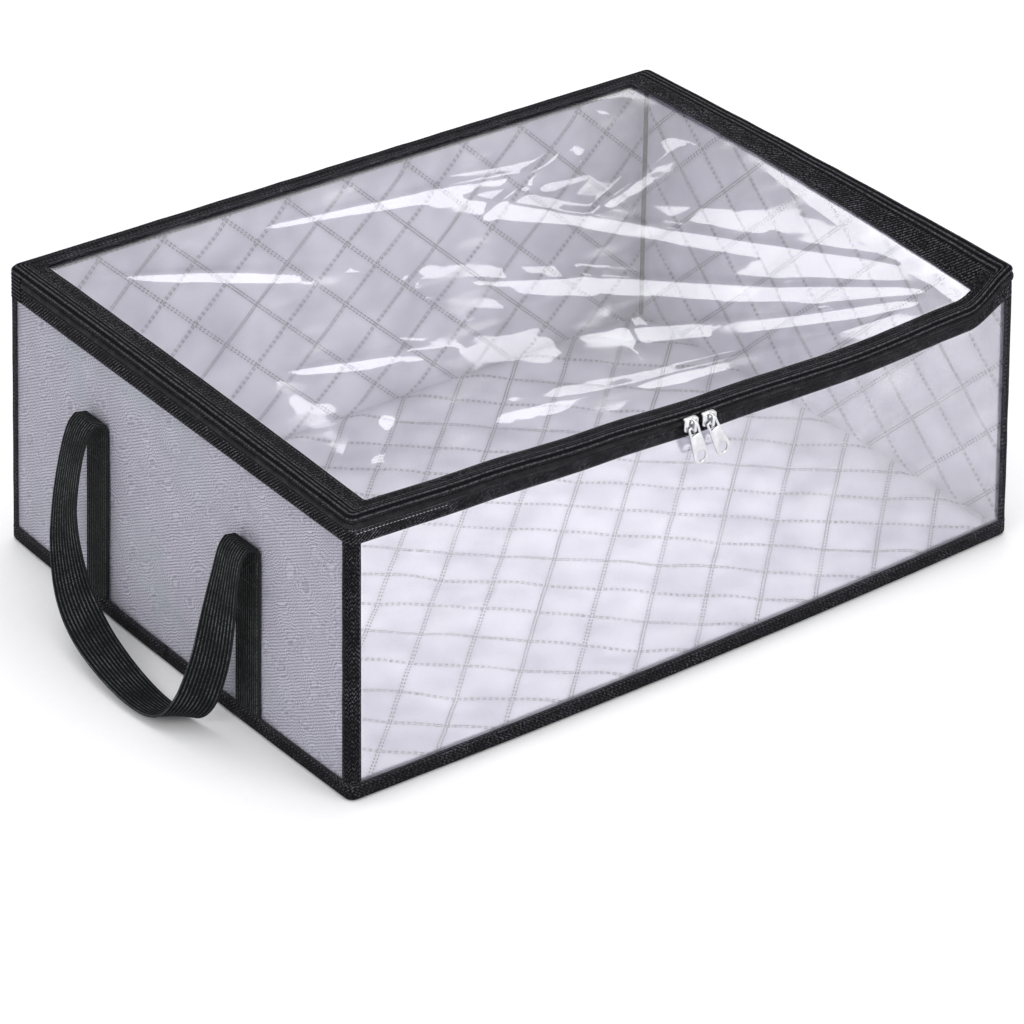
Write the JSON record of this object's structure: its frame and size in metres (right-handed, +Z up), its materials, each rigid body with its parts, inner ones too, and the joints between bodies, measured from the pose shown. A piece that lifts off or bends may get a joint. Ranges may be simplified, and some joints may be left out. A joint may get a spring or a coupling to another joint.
{
  "type": "baseball cap carrier case",
  "caption": "Low rectangular soft case for baseball caps, with grey fabric ends, clear front and lid, black bindings, a zip round three sides of the lid and webbing handles.",
  "frame": {"origin": "middle of the base, on the floor that the case stands on", "axes": "+X along the case to the right end, +Y towards the hinged back, +Z up; the clear front faces -Y"},
  "size_m": [0.6376, 0.3913, 0.2],
  "materials": {
    "quilted_fabric": "quilted, matte",
    "grey_fabric": "heather twill, matte",
    "clear_film": "clear, glossy",
    "black_binding": "ribbed tape, matte",
    "black_zip": "coil and tape, satin",
    "black_webbing": "ribbed webbing, slight sheen",
    "slider_metal": "bright nickel"
  },
  "bodies": {
    "case": {"base_panel": "quilted_fabric", "back_panel": "quilted_fabric", "left_end_panel": "grey_fabric", "right_end_panel": "grey_fabric", "front_window": "clear_film", "lid_window": "clear_film", "lid_border": "black_binding", "hinge_binding": "black_binding", "zip_chain": "black_zip", "zip_lower_band": "black_binding", "base_binding": "black_binding", "corner_binding_front_left": "black_binding", "corner_binding_front_right": "black_binding", "corner_binding_back_left": "black_binding", "corner_binding_back_right": "black_binding", "handle_left": "black_webbing", "handle_right": "black_webbing", "slider_left": "slider_metal", "slider_right": "slider_metal"},
    "pull_left": {"pull_tab_left": "slider_metal"},
    "pull_right": {"pull_tab_right": "slider_metal"}
  },
  "joints": [
    {"name": "pull_left_swing", "type": "hinge", "parent": "case", "child": "pull_left", "pos_m": [-0.01269, -0.1944, 0.1725], "axis": [-0.9511, 0, -0.309], "range_deg": [0, 120]},
    {"name": "pull_right_swing", "type": "hinge", "parent": "case", "child": "pull_right", "pos_m": [0.00146, -0.19441, 0.17189], "axis": [-0.8988, 0, -0.4384], "range_deg": [0, 120]}
  ]
}
